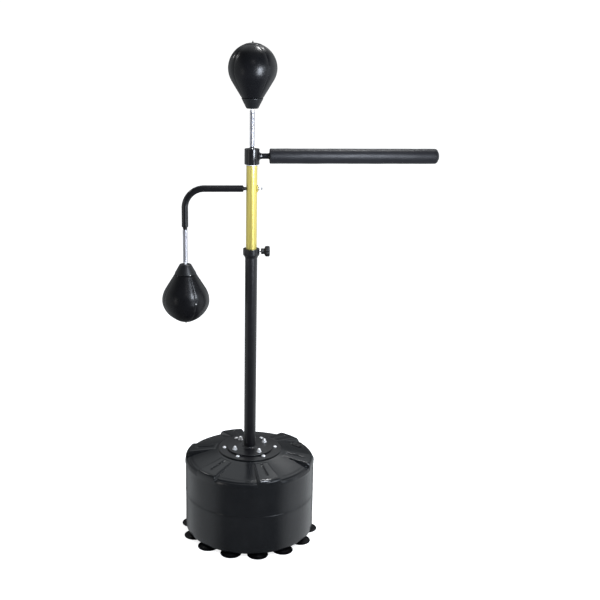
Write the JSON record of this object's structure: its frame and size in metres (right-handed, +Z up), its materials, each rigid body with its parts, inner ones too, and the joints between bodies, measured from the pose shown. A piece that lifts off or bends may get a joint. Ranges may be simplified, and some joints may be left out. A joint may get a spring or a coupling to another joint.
{
  "type": "spinning bar boxing trainer with spring speed balls",
  "caption": "Free-standing boxing trainer: a fillable drum base on suction cups, a telescoping post, a spinning foam bar and leather speed balls on springs above it and on a side arm.",
  "frame": {"origin": "on the floor below the middle of the bounding box; the post's axis is the vertical line x = -0.17225 m, y = 0", "axes": "+Z up along the post, +X along the spinning bar at rest, and the side arm points along -X"},
  "size_m": [0.9955, 0.5278, 1.8584],
  "materials": {
    "tank_plastic": "satin",
    "black_paint": "satin",
    "black_gloss_paint": "gloss",
    "gold_paint": "gloss",
    "bright_steel": "polished",
    "spring_chrome": "polished",
    "black_plastic": "satin",
    "collar_plastic": "satin",
    "nylon": "satin",
    "seal_rubber": "matte",
    "cup_rubber": "satin",
    "bladder_rubber": "matte",
    "ball_leather": "gloss",
    "bar_foam": "matte"
  },
  "bodies": {
    "base": {"base_tank": "tank_plastic", "base_plate": "black_paint", "plate_screw_1": "bright_steel", "plate_screw_2": "bright_steel", "plate_screw_3": "bright_steel", "plate_screw_4": "bright_steel", "plate_screw_5": "bright_steel", "plate_screw_6": "bright_steel", "mast_flange": "black_paint", "flange_nut_1": "bright_steel", "flange_nut_2": "bright_steel", "flange_nut_3": "bright_steel", "flange_nut_4": "bright_steel", "lower_tube": "black_paint", "guide_bush": "nylon", "tube_collar": "black_paint", "suction_cup_01": "cup_rubber", "suction_cup_02": "cup_rubber", "suction_cup_03": "cup_rubber", "suction_cup_04": "cup_rubber", "suction_cup_05": "cup_rubber", "suction_cup_06": "cup_rubber", "suction_cup_07": "cup_rubber", "suction_cup_08": "cup_rubber", "suction_cup_09": "cup_rubber", "suction_cup_10": "cup_rubber", "suction_cup_11": "cup_rubber", "suction_cup_12": "cup_rubber", "suction_cup_13": "cup_rubber", "suction_cup_14": "cup_rubber"},
    "fill_seal": {"fill_cap_gasket": "seal_rubber"},
    "fill_lid": {"fill_cap": "black_plastic"},
    "clamp_slider": {"clamp_pad": "nylon"},
    "clamp_handle": {"clamp_stud": "bright_steel", "clamp_knob": "black_plastic"},
    "post": {"upper_tube": "gold_paint", "spindle": "bright_steel", "lower_bearing": "bright_steel", "upper_bearing": "bright_steel", "top_spring_seat": "black_gloss_paint", "arm_saddle": "gold_paint"},
    "spinner": {"spinner_sleeve": "black_gloss_paint", "bar_tube": "black_gloss_paint", "bar_foam": "bar_foam", "bar_end_cap": "black_plastic"},
    "top_flex": {"top_spring": "spring_chrome"},
    "top_head": {"top_ball_stem": "bright_steel", "top_ball_collar": "collar_plastic", "top_ball_cover": "ball_leather", "top_ball_bladder": "bladder_rubber"},
    "arm": {"arm_tube": "black_gloss_paint", "arm_stud": "black_gloss_paint", "arm_end_plug": "black_plastic"},
    "wing_slider": {"arm_washer": "bright_steel"},
    "wing": {"arm_wing_nut": "bright_steel"},
    "side_flex": {"side_spring": "spring_chrome"},
    "side_head": {"side_ball_stem": "bright_steel", "side_ball_collar": "collar_plastic", "side_ball_cover": "ball_leather", "side_ball_bladder": "bladder_rubber"}
  },
  "joints": [
    {"name": "fill_cap_lift", "type": "slide", "parent": "base", "child": "fill_seal", "axis": [0, 0, 1], "range_m": [0, 0.012]},
    {"name": "fill_cap_turn", "type": "hinge", "parent": "fill_seal", "child": "fill_lid", "pos_m": [0.02014, 0.08166, 0.306], "axis": [0, 0, 1], "range_deg": [0, 1080]},
    {"name": "height_slide", "type": "slide", "parent": "base", "child": "post", "axis": [0, 0, 1], "range_m": [-0.2, 0.15]},
    {"name": "clamp_travel", "type": "slide", "parent": "base", "child": "clamp_slider", "axis": [1, 0, 0], "range_m": [0, 0.0045]},
    {"name": "clamp_turn", "type": "hinge", "parent": "clamp_slider", "child": "clamp_handle", "pos_m": [-0.12225, 0, 1.113], "axis": [1, 0, 0], "range_deg": [0, 1080]},
    {"name": "bar_spin", "type": "hinge", "parent": "post", "child": "spinner", "pos_m": [-0.17225, 0, 1.461], "axis": [0, 0, 1], "continuous": true},
    {"name": "top_nod", "type": "hinge", "parent": "post", "child": "top_flex", "pos_m": [-0.17225, 0, 1.52575], "axis": [1, 0, 0], "range_deg": [-45, 45], "stiffness_Nm_per_rad": 14, "deforming": ["top_spring"]},
    {"name": "top_sway", "type": "hinge", "parent": "top_flex", "child": "top_head", "pos_m": [-0.17225, 0, 1.58925], "axis": [0, 1, 0], "range_deg": [-45, 45], "stiffness_Nm_per_rad": 14, "deforming": ["top_spring"]},
    {"name": "arm_swivel", "type": "hinge", "parent": "post", "child": "arm", "pos_m": [-0.17225, 0, 1.344], "axis": [1, 0, 0], "range_deg": [-60, 60]},
    {"name": "wing_travel", "type": "slide", "parent": "arm", "child": "wing_slider", "axis": [1, 0, 0], "range_m": [0, 0.00375]},
    {"name": "wing_turn", "type": "hinge", "parent": "wing_slider", "child": "wing", "pos_m": [-0.14025, 0, 1.344], "axis": [1, 0, 0], "range_deg": [0, 1080]},
    {"name": "side_nod", "type": "hinge", "parent": "arm", "child": "side_flex", "pos_m": [-0.41325, 0, 1.16525], "axis": [1, 0, 0], "range_deg": [-45, 45], "stiffness_Nm_per_rad": 10, "deforming": ["side_spring"]},
    {"name": "side_sway", "type": "hinge", "parent": "side_flex", "child": "side_head", "pos_m": [-0.41325, 0, 1.10375], "axis": [0, 1, 0], "range_deg": [-28, 45], "stiffness_Nm_per_rad": 10, "deforming": ["side_spring"]}
  ],
  "couplings": [
    {"joint": "fill_cap_turn", "follows": "fill_cap_lift", "rad_per_m": 1570.8},
    {"joint": "clamp_turn", "follows": "clamp_travel", "rad_per_m": 4188.8},
    {"joint": "wing_turn", "follows": "wing_travel", "rad_per_m": 5026.5}
  ]
}
